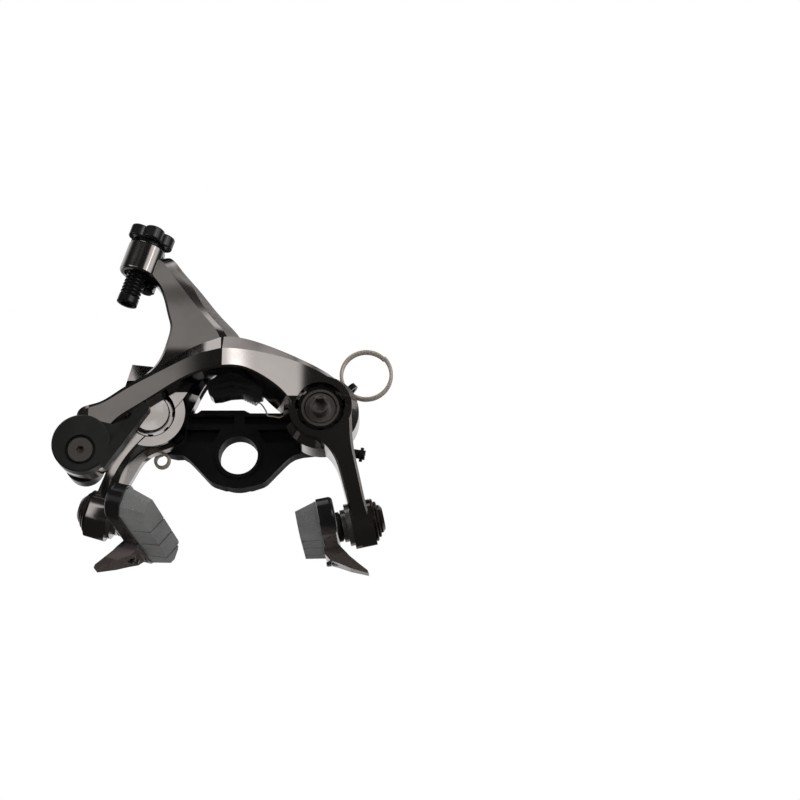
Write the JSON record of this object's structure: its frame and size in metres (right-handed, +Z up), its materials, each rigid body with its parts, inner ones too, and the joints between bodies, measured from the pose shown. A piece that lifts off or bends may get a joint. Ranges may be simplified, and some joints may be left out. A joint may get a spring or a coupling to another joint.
{
  "type": "bicycle rim brake caliper",
  "caption": "Dual-pivot bicycle rim brake caliper on a two-bolt fixing plate, with barrel adjuster, quick-release lever and brake shoes.",
  "frame": {"origin": "midway between the two mounting bolts, on the plane where the fixing plate meets the frame", "axes": "+X to the right seen from the front of the bicycle, +Y from the caliper into the frame, +Z up"},
  "size_m": [0.1091, 0.0542, 0.1176],
  "materials": {
    "polished_alloy": "dark polished anodised",
    "steel": "bright steel",
    "dark_steel": "black",
    "bush_alloy": "satin",
    "black_resin": "matte moulded",
    "gloss_resin": "glossy moulded",
    "holder_alloy": "dark polished anodised",
    "silver_alloy": "bright",
    "spring_wire": "bright wire",
    "pad_rubber": "worn rubber"
  },
  "bodies": {
    "base": {"fixing_plate": "black_resin", "right_pivot_sleeve": "steel", "right_ring_nut": "dark_steel", "right_mounting_bolt": "steel", "left_pivot_sleeve": "steel", "left_ring_nut": "dark_steel", "left_mounting_bolt": "dark_steel", "left_pivot_cap": "steel", "thrust_washers": "gloss_resin", "return_spring": "spring_wire", "spring_seat": "black_resin"},
    "arch": {"arch_arm": "polished_alloy", "arch_arm_bush": "bush_alloy", "spring_cover": "gloss_resin", "helper_spring": "spring_wire"},
    "centering": {"centering_screw": "dark_steel"},
    "quick_release": {"quick_release_lever": "gloss_resin", "cable_bolt": "steel", "cable_clamp": "dark_steel"},
    "stopper": {"stopper_pin": "dark_steel"},
    "ring": {"pull_ring": "spring_wire"},
    "cable_side": {"cable_arm": "polished_alloy", "cable_arm_bush": "bush_alloy", "adjuster_insert": "steel", "adjuster_spring_washer": "steel", "click_plug": "gloss_resin"},
    "barrel": {"adjuster_barrel": "dark_steel"},
    "knob": {"adjuster_knob": "gloss_resin"},
    "right_shoe_carrier": {"right_shoe_bolt": "steel", "right_outer_washers": "bush_alloy", "right_inner_washer": "silver_alloy", "right_cup_washer": "dark_steel", "right_shoe_nut": "steel"},
    "right_shoe": {"right_ball_washer": "bush_alloy", "right_shoe_holder": "holder_alloy", "right_brake_pad": "pad_rubber", "right_pad_screw": "dark_steel"},
    "left_shoe_carrier": {"left_shoe_bolt": "steel", "left_outer_washers": "bush_alloy", "left_inner_washer": "silver_alloy", "left_cup_washer": "dark_steel", "left_shoe_nut": "steel"},
    "left_shoe": {"left_ball_washer": "bush_alloy", "left_shoe_holder": "holder_alloy", "left_brake_pad": "pad_rubber", "left_pad_screw": "dark_steel"}
  },
  "joints": [
    {"name": "arch_turn", "type": "hinge", "parent": "base", "child": "arch", "pos_m": [0.028, -0.018, 0], "axis": [0, 1, 0], "range_deg": [0, 15], "stiffness_Nm_per_rad": 1.2, "springref_deg": -11.46},
    {"name": "cable_arm_turn", "type": "hinge", "parent": "base", "child": "cable_side", "pos_m": [-0.028, -0.014, 0], "axis": [0, 1, 0], "range_deg": [-15, 0], "stiffness_Nm_per_rad": 1.2, "springref_deg": 11.46},
    {"name": "quick_release_turn", "type": "hinge", "parent": "arch", "child": "quick_release", "pos_m": [-0.0481, -0.03, -0.0136], "axis": [0, 1, 0], "range_deg": [0, 48]},
    {"name": "centering_turn", "type": "hinge", "parent": "arch", "child": "centering", "pos_m": [0.04083, -0.0145, -0.01281], "axis": [0.9848, 0, -0.1736], "range_deg": [-360, 360]},
    {"name": "stopper_pull", "type": "slide", "parent": "arch", "child": "stopper", "axis": [0.7193, 0, 0.6947], "range_m": [0, 0.0035]},
    {"name": "ring_swing", "type": "hinge", "parent": "stopper", "child": "ring", "pos_m": [0.03714, -0.015, 0.00882], "axis": [0.6947, 0, -0.7193], "range_deg": [-50, 50]},
    {"name": "knob_turn", "type": "hinge", "parent": "barrel", "child": "knob", "pos_m": [-0.03076, -0.01826, 0.06025], "axis": [0.2795, 0.092, 0.9557], "range_deg": [0, 3600]},
    {"name": "barrel_travel", "type": "slide", "parent": "cable_side", "child": "barrel", "axis": [0.2795, 0.092, 0.9557], "range_m": [0, 0.01]},
    {"name": "right_shoe_height", "type": "slide", "parent": "arch", "child": "right_shoe_carrier", "axis": [-0.2062, 0, 0.9785], "range_m": [-0.002, 0.0009]},
    {"name": "right_shoe_swivel", "type": "hinge", "parent": "right_shoe_carrier", "child": "right_shoe", "pos_m": [0.0416, -0.0175, -0.0362], "axis": [-0.9785, 0, -0.2062], "range_deg": [-12, 12]},
    {"name": "left_shoe_height", "type": "slide", "parent": "cable_side", "child": "left_shoe_carrier", "axis": [0.279, 0, 0.9603], "range_m": [-0.002, 0.0009]},
    {"name": "left_shoe_swivel", "type": "hinge", "parent": "left_shoe_carrier", "child": "left_shoe", "pos_m": [-0.0429, -0.0175, -0.0336], "axis": [0.9603, 0, -0.279], "range_deg": [-12, 12]}
  ],
  "couplings": [
    {"joint": "cable_arm_turn", "follows": "arch_turn", "ratio": -1},
    {"joint": "knob_turn", "follows": "barrel_travel", "rad_per_m": 6283.2}
  ]
}
